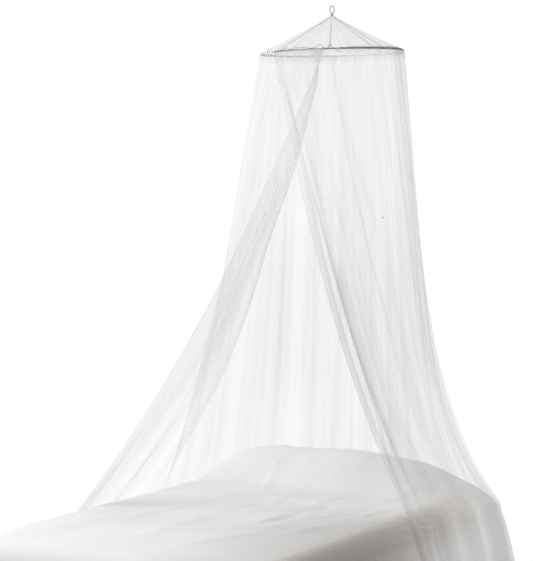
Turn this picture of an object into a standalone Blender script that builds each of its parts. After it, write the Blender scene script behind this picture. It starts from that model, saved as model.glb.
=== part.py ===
"""A hoop canopy of mosquito net, drawn apart at the front, over a made bed.

Metres, +Z up. The origin is on the floor, straight below the ceiling hook and
on the flat underside of the bed's base. +Y is the bed's head and -Y its foot.
Angles round the hoop run from the middle of the canopy's opening, which faces
the foot of the bed and its +X side.
"""

from math import atan, cos, hypot, pi, radians, sin, tan

import bmesh
import bpy
import numpy as np

# The bed, as its bedspread covers it
BED_WIDTH = 1.40
BED_LENGTH = 2.20
BED_TOP = 0.55
HEAD_Y = 0.343  # the hook is this far in from the bed's head
PLAN_RADIUS = 0.12  # of the four corners seen from above
EDGE_RADIUS = 0.09  # of the bedspread's roll from the top to the sides
TOUCH = 0.0003  # between pieces that rest on each other

# The hoop, its ring and its cords
HOOP_HEIGHT = 2.546
HOOP_RADIUS = 0.325
HOOP_WIRE = 0.003  # radius
OPENING_ANGLE = radians(-62.3)
HOOP_TILT = radians(1.5)
HOOP_LOW_ANGLE = radians(209.6)  # the hoop hangs lowest on this side
RING_RADIUS = 0.0166  # to the middle of its wire
RING_WIRE = 0.002
RING_TURN = radians(-25)
CRIMP_RADIUS = 0.0045
CRIMP_LENGTH = 0.009
APEX_RISE = 0.1655  # the tip of the roof, above the hoop
CORD_RADIUS = 0.0012
CORD_TOP = (0.003, -0.0015)  # out from the middle, and up from the roof's tip
CORD_ANGLES = (46, -47, 134, -134)
DRAWCORD_RADIUS = 0.0011
WAVE_STEPS = 3
DRAWCORD_WAVES = (  # its angle on the hoop, and how far it rides up the roof
    (-51.6, 0.000), (-43, -0.001), (-40, 0.004), (-37, 0.011), (-34, 0.002), (-30, 0.009),
    (-25, 0.007), (-20, 0.010), (-17, 0.002), (-13, 0.007), (-9.5, 0.020), (-6, 0.004),
    (-4, -0.003), (-1.5, 0.014), (1.5, 0.000), (6.8, -0.018),
)
KNOT_ANGLE = -53.8
KNOT_SIZE = (0.020, 0.012, 0.034)  # along the hoop, out from it, and up

# The net
ROOF_EDGES = (-2, -410)  # the roof's sheet runs round between these, and laps
ROOF_SAG = 0.010  # between two cords
TAUT = 8  # degrees each side of a cord where the roof doesn't sag
ROOF_RIM = (0.0065, 0.0021)  # how far out from the hoop's middle, and up, the roof ends
NET_THICKNESS = 0.0012
NET_LENGTH = 2.50  # from the hoop to the hem, as it is cut
HEM_LOWEST = 0.04  # above the floor
LAYER_STEP = 0.003  # the outer layer lies this far out where the edges overlap
LAYER_SWELL = 0.018  # and swells out by this much more below the hoop
NET_CLEARANCE = 0.006  # from the bedspread's edge
CHORD_SLACK = 0.0005  # a round edge made of straight steps comes this much nearer

# The net's pleats, from the edge of its outer panel round the back to the edge
# of its inner one. Each row is a crest: its place on the hoop in degrees, where
# its thread crosses the bed's edge as a share of the way round, how much of its
# spread is left to the lowest part, how sharply that part turns out, and how
# far it stands proud halfway down and at the bed.
PLEATS = (
    # hoop, share, late, turn, middle, foot
    (-5, 0.000, 0.22, 3.0, 0.000, 0.004),
    (-9, 0.080, 0.30, 3.6, 0.012, 0.020),
    (-15, 0.168, 0.40, 4.5, 0.016, 0.024),
    (-45, 0.215, 0.10, 3.0, 0.012, 0.018),
    (-82, 0.285, 0.05, 3.0, 0.014, 0.020),
    (-120, 0.370, 0.20, 3.0, 0.016, 0.022),
    (-158, 0.455, 0.30, 3.5, 0.014, 0.018),
    (-196, 0.540, 0.35, 4.0, 0.018, 0.024),
    (-236, 0.630, 0.45, 5.0, 0.014, 0.020),
    (-268, 0.720, 0.56, 6.0, 0.016, 0.026),
    (-298, 0.775, 0.54, 5.5, 0.020, 0.030),
    (-331, 0.845, 0.50, 5.0, 0.022, 0.030),
    (-362, 0.915, 0.44, 4.0, 0.020, 0.028),
    (-392, 0.965, 0.36, 3.4, 0.014, 0.020),
    (-413, 1.000, 0.32, 3.2, 0.000, 0.004),
)
SHARE_START = 1.085  # the outer panel's edge crosses the bed's side this far below the hook
SHARE_END = 0.575  # and the inner panel's edge, on the other side
COLUMNS_PER_PLEAT = 5
DROPS = (0, 0.03, 0.09, 0.18, 0.29, 0.41, 0.53, 0.65, 0.76, 0.85, 0.93, 1)
FALLS = (0.35, 0.7, 1)  # shares of what hangs below the bed's edge

# The bedspread's sides, below the roll: height, and how far out of the bed's plan
SPREAD_FALL = ((0.46, 0.000), (0.36, 0.030), (0.22, 0.058), (0.08, 0.070))
SPREAD_THICKNESS = 0.003
SPREAD_TOP_RINGS = 6
ROLL = ((radians(60), 0.6), (radians(30), 0.2))  # a ring's tilt, and its share of the hump

# The pillows: centre, half sizes and height
PILLOW_X = 0.325
PILLOW_Y = 0.110
PILLOW_HALF = (0.275, 0.150)
PILLOW_HEIGHT = 0.100
PILLOW_WAIST = 0.20  # its widest line's height, as a share of its own
PILLOW_SQUARENESS = 0.45  # 0 is an ellipse seen from above, and 1 a rectangle
PILLOW_CROWN = 1.3

# The bedspread's hump over each pillow: its reach towards the middle of the bed,
# outwards, and along the bed, and its height
HUMP_INWARD = 0.48
HUMP_OUTWARD = 0.37
HUMP_ALONG = 0.27
HUMP_HEIGHT = 0.150
HUMP_SQUARENESS = 2.4
HUMP_SOFTNESS = 1.6

BASE_HEIGHT = 0.27
MATTRESS_INSET = 0.035
MATTRESS_EDGE = 0.075
BASE_INSET = 0.030
BASE_EDGE = 0.012

COLOURS = {
    "white_net": ((0.90, 0.90, 0.90), 0.85, 0.0),
    "cream_tape": ((0.80, 0.77, 0.70), 0.80, 0.0),
    "grey_cord": ((0.30, 0.29, 0.28), 0.80, 0.0),
    "hoop_steel": ((0.22, 0.20, 0.18), 0.45, 0.6),
    "zinc_wire": ((0.50, 0.50, 0.49), 0.35, 0.9),
    "white_cotton": ((0.86, 0.86, 0.85), 0.90, 0.0),
    "ticking": ((0.80, 0.79, 0.76), 0.90, 0.0),
    "base_cloth": ((0.70, 0.69, 0.66), 0.90, 0.0),
}


# Places on the hoop and round the bed


def hoop_point(angle, out, up):
    """The point out from the hoop's middle line and up from it, at an angle in degrees."""
    turn = OPENING_ANGLE + radians(angle)
    x = (HOOP_RADIUS + out) * cos(turn)
    y = (HOOP_RADIUS + out) * sin(turn)
    lean = tan(HOOP_TILT) * (x * cos(HOOP_LOW_ANGLE) + y * sin(HOOP_LOW_ANGLE))
    return np.array((x, y, HOOP_HEIGHT + up - lean))


def radial(angle):
    """The way out from the hoop's middle at an angle in degrees."""
    turn = OPENING_ANGLE + radians(angle)
    return np.array((cos(turn), sin(turn), 0.0))


def bed_stretches():
    """The bed's rounded plan, clockwise from the foot end of its -X side."""
    across = BED_WIDTH / 2 - PLAN_RADIUS
    head = HEAD_Y - PLAN_RADIUS
    foot = HEAD_Y - BED_LENGTH + PLAN_RADIUS
    corners = ((-across, foot), (-across, head), (across, head), (across, foot))
    facing = (pi, pi / 2, 0, -pi / 2)
    return corners, facing


def around_bed(run, out):
    """A point out from the bed's plan and the way out, run metres round from the start."""
    corners, facing = bed_stretches()
    arc = PLAN_RADIUS * pi / 2
    sides = (BED_LENGTH - 2 * PLAN_RADIUS, BED_WIDTH - 2 * PLAN_RADIUS) * 2
    run %= sum(sides) + 4 * arc
    for k in range(4):
        way_out = np.array((cos(facing[k]), sin(facing[k])))
        start, end = np.array(corners[k]), np.array(corners[(k + 1) % 4])
        if run <= sides[k]:
            on_side = start + (end - start) * run / sides[k]
            return on_side + way_out * (PLAN_RADIUS + out), way_out
        run -= sides[k]
        if run <= arc:
            turn = facing[k] - run / PLAN_RADIUS
            way_out = np.array((cos(turn), sin(turn)))
            return end + way_out * (PLAN_RADIUS + out), way_out
        run -= arc
    return around_bed(0, out)


def side_out(height):
    """How far the bedspread stands out of the bed's plan at a height below its roll."""
    heights = [row[0] for row in reversed(SPREAD_FALL)]
    return float(np.interp(height, heights, [row[1] for row in reversed(SPREAD_FALL)]))


def mattress_top():
    """The height of the mattress under the bedspread."""
    return BED_TOP - SPREAD_THICKNESS - TOUCH


def hump(x, y):
    """How far the pillows lift the bedspread."""
    lift = 0.0
    for centre in (-PILLOW_X, PILLOW_X):
        u = (x - centre) / (HUMP_INWARD if abs(x) < abs(centre) or x * centre < 0 else HUMP_OUTWARD)
        v = (y - PILLOW_Y) / HUMP_ALONG
        across = max(0.0, 1 - abs(u) ** HUMP_SQUARENESS)
        along = max(0.0, 1 - v * v)
        lift += (across * along) ** HUMP_SOFTNESS
    return HUMP_HEIGHT * min(lift, 1.0)


# The net


def skirt_row(u):
    """The pleat table's columns at u, from 0 at the outer panel's edge to 1."""
    table = np.array(PLEATS, dtype=float)
    at = u * (len(PLEATS) - 1)
    return [float(np.interp(at, range(len(PLEATS)), column)) for column in table.T]


def outer_layer(angle):
    """1 where the net is the outer of two layers, fading to 0 past the overlap."""
    return float(np.interp(angle, (-85, -58), (0, 1)))


def thread(u):
    """One thread of the skirt from the hoop to the hem, as a list of points."""
    angle, share, late, turn, middle, foot = skirt_row(u)
    crest = 0.5 + 0.5 * cos(2 * pi * u * (len(PLEATS) - 1))
    layer = outer_layer(angle)
    top_out = HOOP_WIRE + TOUCH + NET_THICKNESS / 2 + CHORD_SLACK + layer * LAYER_STEP
    top = hoop_point(angle, top_out, -0.001)

    start = HEAD_Y - BED_LENGTH + PLAN_RADIUS
    arc = PLAN_RADIUS * pi / 2
    first = -SHARE_START - start
    reach = BED_LENGTH - 2 * PLAN_RADIUS + BED_WIDTH - 2 * PLAN_RADIUS + 2 * arc
    last = reach + (HEAD_Y - PLAN_RADIUS) + SHARE_END
    run = first + share * (last - first)

    def over_edge(tilt):
        out = EDGE_RADIUS * (cos(tilt) - 1) + NET_CLEARANCE * cos(tilt)
        plan, _ = around_bed(run, out)
        height = BED_TOP - EDGE_RADIUS + (EDGE_RADIUS + NET_CLEARANCE) * sin(tilt)
        return np.array((*plan, height))

    _, way_out = around_bed(run, 0)
    way_out = np.array((*way_out, 0.0))
    level = over_edge(0)
    slope = (level - top) @ way_out * (1 - late + late * turn) / (top - level)[2]
    meeting_tilt = max(radians(4), atan(slope))
    meeting = over_edge(meeting_tilt)
    points = []
    for drop in DROPS:
        spread = (1 - late) * drop + late * drop**turn
        point = top + (meeting - top) * np.array((spread, spread, drop))
        aside = radial(angle) * (1 - spread) + way_out * spread
        aside /= np.linalg.norm(aside)
        proud = crest * np.interp(drop, (0, 0.12, 0.5, 1), (0, 0.15 * middle, middle, foot))
        proud += layer * LAYER_SWELL * np.interp(drop, (0, 0.06, 0.2, 0.5), (0, 0.7, 1, 0))
        points.append(point + aside * proud)
    for tilt in (meeting_tilt / 2, 0):
        points.append(over_edge(tilt) + way_out * crest * foot)

    length = sum(np.linalg.norm(b - a) for a, b in zip(points, points[1:]))
    edge_height = points[-1][2]
    hem_height = max(HEM_LOWEST, edge_height - (NET_LENGTH - length))
    for fall in FALLS:
        height = edge_height + (hem_height - edge_height) * fall
        plan, _ = around_bed(run, side_out(height) + NET_CLEARANCE * (1 + fall))
        point = np.array((*plan, height))
        points.append(point + way_out * crest * foot * (1 + 0.3 * fall))
    return points


def roof_point(angle, share):
    """A point of the roof, from 0 at its tip to 1 just past the hoop."""
    tip_out = CRIMP_RADIUS + TOUCH + NET_THICKNESS / 2 - HOOP_RADIUS
    rim_out, rim_up = ROOF_RIM
    out = tip_out + (rim_out - tip_out) * share
    up = APEX_RISE + (rim_up - APEX_RISE) * share
    from_cord = min(abs((angle - cord + 180) % 360 - 180) for cord in CORD_ANGLES)
    sag = ROOF_SAG * sin(radians(2 * min(max(from_cord - TAUT, 0), 45))) * 4 * share * (1 - share)
    return hoop_point(angle, out, up - sag + outer_layer(angle) * LAYER_STEP)


# Making solids


def collection():
    """The collection that holds the parts."""
    made = bpy.data.collections.get("mosquito_net_canopy")
    if made is None:
        made = bpy.data.collections.new("mosquito_net_canopy")
        bpy.context.scene.collection.children.link(made)
    return made


def finish(obj, name, material, smooth_angle=40):
    """Names an object, moves it to the parts' collection and gives it its material."""
    obj.name = name
    obj.data.name = name
    for owner in list(obj.users_collection):
        owner.objects.unlink(obj)
    collection().objects.link(obj)
    made = bpy.data.materials.get(material)
    if made is None:
        colour, roughness, metallic = COLOURS[material]
        made = bpy.data.materials.new(material)
        made.use_nodes = True
        shader = made.node_tree.nodes["Principled BSDF"]
        shader.inputs["Base Color"].default_value = (*colour, 1)
        shader.inputs["Roughness"].default_value = roughness
        shader.inputs["Metallic"].default_value = metallic
    obj.data.materials.append(made)
    if obj.type == "MESH":
        obj.data.shade_smooth()
        obj.data.set_sharp_from_angle(angle=radians(smooth_angle))
    return obj


def sheet(name, material, columns, rows, thickness, place):
    """A sheet of cloth: a grid whose points place(column, row) sets, given a thickness."""
    mesh = bpy.data.meshes.new(name)
    grid = bmesh.new()
    bmesh.ops.create_grid(grid, x_segments=columns, y_segments=rows, size=1)
    for vert in grid.verts:
        column = round((vert.co.x + 1) / 2 * columns)
        row = round((vert.co.y + 1) / 2 * rows)
        vert.co = place(column, row)
    grid.to_mesh(mesh)
    grid.free()
    obj = bpy.data.objects.new(name, mesh)
    finish(obj, name, material, smooth_angle=60)
    solid = obj.modifiers.new("Thickness", "SOLIDIFY")
    solid.thickness = thickness
    solid.offset = 0
    return obj


# The net's two sheets


def net_skirt():
    """The skirt: one sheet from the outer panel's free edge round to the inner one's."""
    columns = (len(PLEATS) - 1) * COLUMNS_PER_PLEAT
    threads = [thread(k / columns) for k in range(columns + 1)]
    rows = len(threads[0]) - 1
    sheet("net_skirt", "white_net", columns, rows, NET_THICKNESS, lambda i, j: threads[i][j])


def net_roof():
    """The cone of net between the crimp and the hoop, lapped where the skirt laps."""
    first, last = ROOF_EDGES
    columns, rows = 40, 4

    def place(i, j):
        return roof_point(first + (last - first) * i / columns, j / rows)

    sheet("net_roof", "white_net", columns, rows, NET_THICKNESS, place)


# The bed


def spread_rings():
    """The bedspread's rings: share of the top's reach, way out of the plan, height, share of the hump."""
    middle = SPREAD_THICKNESS / 2
    tops = range(SPREAD_TOP_RINGS + 1)
    rings = [(k / SPREAD_TOP_RINGS, -EDGE_RADIUS, BED_TOP - middle, 1) for k in tops]
    for tilt, lifted in ROLL:
        out = (EDGE_RADIUS - middle) * cos(tilt) - EDGE_RADIUS
        rings.append((1, out, BED_TOP - EDGE_RADIUS + (EDGE_RADIUS - middle) * sin(tilt), lifted))
    rings += [(1, out - middle, height, 0) for height, out in SPREAD_FALL]
    return rings


def crowd(share, corner):
    """Crowds a side's points, from -1 to 1 along it, into the share that its corners take."""
    return float(np.interp(share, (-1, -0.8, 0.8, 1), (-1, corner - 1, 1 - corner, 1)))


def bedspread():
    """The bedspread, from square rings: the top, the roll over the edge, and the sides."""
    rings = spread_rings()
    reach = len(rings) - 1
    arc = PLAN_RADIUS * pi / 2
    side = BED_LENGTH - 2 * PLAN_RADIUS + arc
    head = BED_WIDTH - 2 * PLAN_RADIUS + arc
    centre = np.array((0, HEAD_Y - BED_LENGTH / 2))

    def place(i, j):
        i, j = i - reach, j - reach
        ring = max(abs(i), abs(j))
        share, out, height, lifted = rings[ring]
        along = [0 if ring == 0 else crowd(k / ring, arc / whole) for k, whole in ((i, head), (j, side))]
        if -i == ring:
            run = side * (0.5 + along[1] / 2)
        elif j == ring:
            run = side + head * (0.5 + along[0] / 2)
        elif i == ring:
            run = side + head + side * (0.5 - along[1] / 2)
        else:
            run = 2 * side + head + head * (0.5 - along[0] / 2)
        plan, _ = around_bed(run - arc / 2, out)
        plan = centre + (plan - centre) * share
        return (*plan, height + lifted * hump(*plan))

    sheet("bedspread", "white_cotton", 2 * reach, 2 * reach, SPREAD_THICKNESS, place)


def pillow(name, x):
    """A pillow: a crowned form that thins towards its sides, flat where it rests."""
    bpy.ops.mesh.primitive_uv_sphere_add(segments=24, ring_count=10, radius=1)
    obj = bpy.context.object
    waist = PILLOW_WAIST * PILLOW_HEIGHT
    for vert in obj.data.vertices:
        u, v, w = vert.co
        square = hypot(u, v) / max(abs(u), abs(v), 1e-6)
        grown = 1 + (square - 1) * PILLOW_SQUARENESS
        vert.co.x = x + PILLOW_HALF[0] * u * grown
        vert.co.y = PILLOW_Y + PILLOW_HALF[1] * v * grown
        rise = (PILLOW_HEIGHT - waist) * max(w, 0) ** PILLOW_CROWN
        vert.co.z = mattress_top() + TOUCH + waist + rise - waist * min(1, -2 * min(w, 0))
    finish(obj, name, "white_cotton", smooth_angle=180)


def soft_block(name, material, inset, bottom, top, radius):
    """A box the shape of the bed, inset on its four sides, with soft edges."""
    bpy.ops.mesh.primitive_cube_add(size=1, location=(0, HEAD_Y - BED_LENGTH / 2, (bottom + top) / 2))
    obj = bpy.context.object
    obj.scale = (BED_WIDTH - 2 * inset, BED_LENGTH - 2 * inset, top - bottom)
    bpy.ops.object.transform_apply(location=False, rotation=False, scale=True)
    finish(obj, name, material)
    bevel = obj.modifiers.new("Soft edges", "BEVEL")
    bevel.width = radius
    bevel.segments = 3
    return obj


# The hoop and what hangs it


def wire(name, material, points, radius, closed=False):
    """A wire or cord: a straight-sided curve with a round section and closed ends."""
    curve = bpy.data.curves.new(name, "CURVE")
    curve.dimensions = "3D"
    curve.bevel_depth = radius
    curve.bevel_resolution = 2
    curve.use_fill_caps = True
    spline = curve.splines.new("POLY")
    spline.points.add(len(points) - 1)
    for point, place in zip(spline.points, points):
        point.co = (*place, 1)
    spline.use_cyclic_u = closed
    obj = bpy.data.objects.new(name, curve)
    return finish(obj, name, material)


def build_hoop_and_ring():
    """The hoop, the ring it hangs from, the crimp, the cords and the corner knot."""
    bpy.ops.mesh.primitive_torus_add(
        major_segments=56, minor_segments=8, major_radius=HOOP_RADIUS, minor_radius=HOOP_WIRE
    )
    hoop = bpy.context.object
    for vert in hoop.data.vertices:
        x, y, _ = vert.co
        lean = tan(HOOP_TILT) * (x * cos(HOOP_LOW_ANGLE) + y * sin(HOOP_LOW_ANGLE))
        vert.co.z += HOOP_HEIGHT - lean
    finish(hoop, "hoop", "hoop_steel")

    crimp_bottom = HOOP_HEIGHT + APEX_RISE
    ring_height = crimp_bottom + CRIMP_LENGTH + TOUCH + RING_WIRE + RING_RADIUS
    bpy.ops.mesh.primitive_torus_add(
        major_segments=20, minor_segments=8, major_radius=RING_RADIUS, minor_radius=RING_WIRE,
        location=(0, 0, ring_height), rotation=(pi / 2, 0, RING_TURN),
    )
    finish(bpy.context.object, "ceiling_ring", "zinc_wire")

    bpy.ops.mesh.primitive_cylinder_add(
        vertices=16, radius=CRIMP_RADIUS, depth=CRIMP_LENGTH,
        location=(0, 0, crimp_bottom + CRIMP_LENGTH / 2),
    )
    finish(bpy.context.object, "ring_crimp", "grey_cord")

    for number, angle in enumerate(CORD_ANGLES, 1):
        top = hoop_point(angle, CORD_TOP[0] - HOOP_RADIUS, APEX_RISE + CORD_TOP[1])
        seat = hoop_point(angle, 0, 0)
        along = (top - seat) / np.linalg.norm(top - seat)
        end = seat + along * (HOOP_WIRE + TOUCH + CHORD_SLACK)
        wire(f"suspension_cord_{number}", "grey_cord", [top, end], CORD_RADIUS)


def drawcord_route():
    """The drawcord, from the knot to its free end, looping up over the net's rim."""
    points = []
    for (a, low), (b, high) in zip(DRAWCORD_WAVES, DRAWCORD_WAVES[1:]):
        for step in range(WAVE_STEPS):
            share = step / WAVE_STEPS
            eased = 0.5 - 0.5 * cos(pi * share)
            points.append(outside_rim(a + (b - a) * share, low + (high - low) * eased))
    return [*points, outside_rim(*DRAWCORD_WAVES[-1])]


def outside_rim(angle, up):
    """The drawcord's middle line at an angle, clear of the net's rim and leaning in above it."""
    stand = DRAWCORD_RADIUS + TOUCH + NET_THICKNESS / 2 + 2 * CHORD_SLACK
    layer = 0 if angle > ROOF_EDGES[0] + 1 else LAYER_STEP
    lean = 0.5 * max(up, 0) + 0.6 * min(up, 0)
    return hoop_point(angle, ROOF_RIM[0] + stand + layer - lean, up)


def knot():
    """The pale knot on the hoop, at the inner panel's top corner."""
    bpy.ops.mesh.primitive_uv_sphere_add(segments=16, ring_count=8, radius=0.5)
    obj = bpy.context.object
    out = HOOP_WIRE + NET_THICKNESS + TOUCH + LAYER_STEP + CHORD_SLACK * 4 + KNOT_SIZE[1] / 2
    obj.location = hoop_point(KNOT_ANGLE, out, -0.003)
    obj.rotation_euler = (0, 0, OPENING_ANGLE + radians(KNOT_ANGLE) + pi / 2)
    obj.scale = KNOT_SIZE
    bpy.ops.object.transform_apply(location=True, rotation=True, scale=True)
    finish(obj, "corner_knot", "cream_tape")


def main():
    """Makes every piece."""
    for obj in list(bpy.data.objects):
        bpy.data.objects.remove(obj)
    net_skirt()
    net_roof()
    bedspread()
    pillow("pillow_left", -PILLOW_X)
    pillow("pillow_right", PILLOW_X)
    soft_block("bed_base", "base_cloth", BASE_INSET, 0, BASE_HEIGHT, BASE_EDGE)
    soft_block("mattress", "ticking", MATTRESS_INSET, BASE_HEIGHT + TOUCH, mattress_top(), MATTRESS_EDGE)
    build_hoop_and_ring()
    knot()
    wire("drawcord", "grey_cord", drawcord_route(), DRAWCORD_RADIUS)


main()
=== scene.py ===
"""The looks of the mosquito net canopy and the bed it falls over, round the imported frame.

Metres, +Z up. The hoop's angles run from the middle of the canopy's opening, which
faces the foot of the bed and its +X side. A place along the net's cloth runs from 0 at
the free edge of its outer panel to 1 at that of the inner one.
"""

from math import atan, cos, exp, pi, radians, sin, tan

import bpy
import numpy as np
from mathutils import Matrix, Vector

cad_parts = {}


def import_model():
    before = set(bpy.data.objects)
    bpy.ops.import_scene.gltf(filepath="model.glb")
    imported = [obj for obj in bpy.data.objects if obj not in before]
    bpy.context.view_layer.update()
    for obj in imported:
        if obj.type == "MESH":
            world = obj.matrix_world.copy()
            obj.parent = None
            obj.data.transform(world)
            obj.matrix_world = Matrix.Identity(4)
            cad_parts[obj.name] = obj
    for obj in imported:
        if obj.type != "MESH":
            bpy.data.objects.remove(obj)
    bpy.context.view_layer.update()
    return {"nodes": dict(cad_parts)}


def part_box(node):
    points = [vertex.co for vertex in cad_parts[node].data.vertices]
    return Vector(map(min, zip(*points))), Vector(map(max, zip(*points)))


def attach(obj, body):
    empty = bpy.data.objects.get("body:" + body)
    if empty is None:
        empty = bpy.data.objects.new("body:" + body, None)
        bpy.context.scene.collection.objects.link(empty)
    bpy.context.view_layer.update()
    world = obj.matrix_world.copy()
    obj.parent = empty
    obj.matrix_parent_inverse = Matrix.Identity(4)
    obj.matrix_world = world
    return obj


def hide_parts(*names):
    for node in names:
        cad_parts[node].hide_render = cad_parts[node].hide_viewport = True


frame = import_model()

# From the frame
HOOP_LOW, HOOP_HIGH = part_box("hoop")
HOOP_WIRE = 0.003
HOOP_RADIUS = (HOOP_HIGH.x - HOOP_LOW.x) / 2 - HOOP_WIRE
HOOP_HEIGHT = (HOOP_LOW.z + HOOP_HIGH.z) / 2
CRIMP_LOW, CRIMP_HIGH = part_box("ring_crimp")
APEX_RISE = CRIMP_LOW.z - HOOP_HEIGHT
CRIMP_RADIUS = (CRIMP_HIGH.x - CRIMP_LOW.x) / 2
_, MATTRESS_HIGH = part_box("mattress")
SPREAD_THICKNESS = 0.003
TOUCH = 0.0003
BED_TOP = MATTRESS_HIGH.z + SPREAD_THICKNESS + TOUCH

# The bed's plan and its bedspread
BED_WIDTH = 1.40
BED_LENGTH = 2.20
HEAD_Y = MATTRESS_HIGH.y + 0.035
PLAN_RADIUS = 0.12
EDGE_RADIUS = 0.09
SPREAD_FALL = ((0.08, 0.070), (0.22, 0.058), (0.36, 0.030), (0.46, 0.000))  # height, way out
SPREAD_RINGS = (56, 14, 16)  # of its grid: on top, over the roll and down the side
LIFT_ENDS = 0.15  # of the roll, where the top's relief has faded out

# The net, as the frame's solids hold it
OPENING_ANGLE = radians(-62.3)
HOOP_TILT = radians(1.5)
HOOP_LOW_ANGLE = radians(209.6)
NET_LENGTH = 2.50
HEM_LOWEST = 0.04
NET_OFF_HOOP = 0.0015
NET_CLEARANCE = 0.006
LAP_ANGLES = (-85, -58)  # between these, the cloth at the hoop passes under its own other end
LAP_LIFT = 0.003
LAP_SWELL = 0.018
LAP_SWELL_DOWN = ((0, 0), (0.06, 0.7), (0.2, 1), (0.5, 0))
# Where the panels overlap, the outer one's inner threads hang this much nearer its edge
SWING = 0.041
SWING_ALONG = ((0.0, 0), (0.07, 1), (0.13, 1), (0.24, 0))
SWING_DOWN = ((0.0, 0), (0.09, 1), (0.21, 1), (0.46, 0))
SWING_TURN = 0.25
PLEATS = (
    # angle at the hoop, share of the way round the bed, how much of its way out comes late
    # and how sharply, and how far its crest stands out half way down and at the bed
    (-5, 0.000, 0.22, 3.0, 0.000, 0.004),
    (-9, 0.080, 0.30, 3.6, 0.012, 0.020),
    (-15, 0.168, 0.40, 4.5, 0.016, 0.024),
    (-45, 0.215, 0.10, 3.0, 0.012, 0.018),
    (-82, 0.285, 0.05, 3.0, 0.014, 0.020),
    (-120, 0.370, 0.20, 3.0, 0.016, 0.022),
    (-158, 0.455, 0.30, 3.5, 0.014, 0.018),
    (-196, 0.540, 0.35, 4.0, 0.018, 0.024),
    (-236, 0.630, 0.45, 5.0, 0.014, 0.020),
    (-268, 0.720, 0.56, 6.0, 0.016, 0.026),
    (-298, 0.775, 0.54, 5.5, 0.020, 0.030),
    (-331, 0.845, 0.50, 5.0, 0.022, 0.030),
    (-362, 0.915, 0.44, 4.0, 0.020, 0.028),
    (-392, 0.965, 0.36, 3.4, 0.014, 0.020),
    (-413, 1.000, 0.32, 3.2, 0.000, 0.004),
)
PLEAT_DROPS = (0, 0.12, 0.5, 1)
PLEAT_FIRST = 0.15  # of the middle, at the second of these
PLEAT_WIDER = 0.3  # and more at the hem
SHARE_START = 1.085  # how far toward the foot the net reaches on each side, from the middle
SHARE_END = 0.575
DROP_CROWD = 1.25  # the rows stand closer near the hoop
LEAST_TILT = radians(4)
TURN_ROWS = 0.25  # the share of the rows past the bed's edge that turn over it
SKIRT_FLAT = (5.8, 2.5)
NET_COVER = 0.20
NET_COLOUR = (0.72, 0.72, 0.72)

ROOF_EDGES = (-2, -410)
ROOF_TUCK = 1.2
ROOF_LAP = (-50, -362)  # past these its two ends lie on each other
ROOF_LAP_FADE = ((-4, 1.0), (4, 0.45))
ROOF_FLAT = (2.4, 0.37)
ROOF_HALF = 0.0006
ROOF_SAG = 0.010
ROOF_COLUMNS, ROOF_ROWS = 300, 24
ROOF_COVER = 0.18
ROOF_OPEN = 0.85
ROOF_HEM_WIDTH = 0.011
ROOF_HEM_DENSER = (14.0, 9.0)
TIP_DENSER = 0.6
RIM_OUT, RIM_UP = 0.0065, 0.0021  # where its foot lies, from the hoop's middle line
CORD_ANGLES = (46, -47, 134, -134)
CORD_REACH = 8  # degrees to each side in which a cord holds the roof up

DRAWCORD_RADIUS = 0.0011
DRAWCORD_WAVES = (  # its angle on the hoop, and how far it rides up the roof
    (-51.6, 0.000), (-43, -0.001), (-40, 0.004), (-37, 0.011), (-34, 0.002), (-30, 0.009),
    (-25, 0.007), (-20, 0.010), (-17, 0.002), (-13, 0.007), (-9.5, 0.020), (-6, 0.004),
    (-4, -0.003), (-1.5, 0.014), (1.5, 0.000), (6.8, -0.018),
)
DRAWCORD_OFF = 0.001
DRAWCORD_STEPS = 6
KNOT_ANGLE = -53.8
KNOT_OUT_UP = (0.009, -0.003)
TIE_STEPS = 8
# The tie's tape, in millimetres along the hoop, out from it and up
TIE_LOOPS = (
    (0, 2, 0), (-12, 5, 9), (-26, 6, 14), (-34, 5, 6), (-26, 4, -4), (-10, 3, -3), (2, 4, 1),
    (14, 6, 8), (24, 7, 5), (22, 6, -6), (8, 4, -8), (-2, 2, -2),
)
TIE_WRAP = ((2, -6, 6), (-2, 2, 8), (-4, 6, 0), (-2, 3, -8), (3, -4, -7))
TIE_END = ((0, 4, -2), (-6, 6, -10), (-9, 6, -19), (-7, 5, -27))
TIE_THREAD = (
    (4, 4, 0), (10, 7, 10), (2, 8, 15), (-14, 8, 12), (-24, 7, 2), (-18, 6, -10), (-4, 6, -12),
    (10, 6, -4),
)
FLECK = (0.351, -0.181, 1.804)
FLECK_SIZE = (0.0034, 0.0034, 0.0022)
# What is wound round the hoop: from one angle to another, its radius and how far up, its
# material, colour, grain and how much its tone varies
CASINGS = (
    ("casing_left", -172, -60, 0.0046, 0.0, "casing_cloth", (0.80, 0.80, 0.79), 120, 0.15),
    ("binding_right", 6, 74, 0.0042, 0.0, "dark_tape", (0.17, 0.12, 0.09), 160, 0.5),
    ("tape_right", 12, 66, 0.0018, 0.0068, "beige_tape", (0.72, 0.62, 0.52), 200, 0.15),
)
CASING_STEPS = 90

# How much cloth there is for each metre of its line, at places along the net
FULLNESS = (
    (0.00, 2.4), (0.03, 2.3), (0.08, 2.2), (0.12, 2.0), (0.15, 1.9), (0.19, 1.8), (0.24, 1.6),
    (0.34, 1.9), (0.46, 2.1), (0.58, 2.0), (0.64, 2.2), (0.70, 2.4), (0.745, 2.2), (0.79, 1.4),
    (0.86, 1.35), (0.92, 1.3), (0.945, 1.5), (0.97, 1.45), (1.00, 1.3),
)
# How dense it looks, from the hoop down
DENSITY_DOWN = (
    (0.00, 3.2), (0.015, 2.6), (0.04, 0.9), (0.25, 0.8), (0.55, 1.0), (0.80, 1.1), (1.00, 1.15),
)
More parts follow.
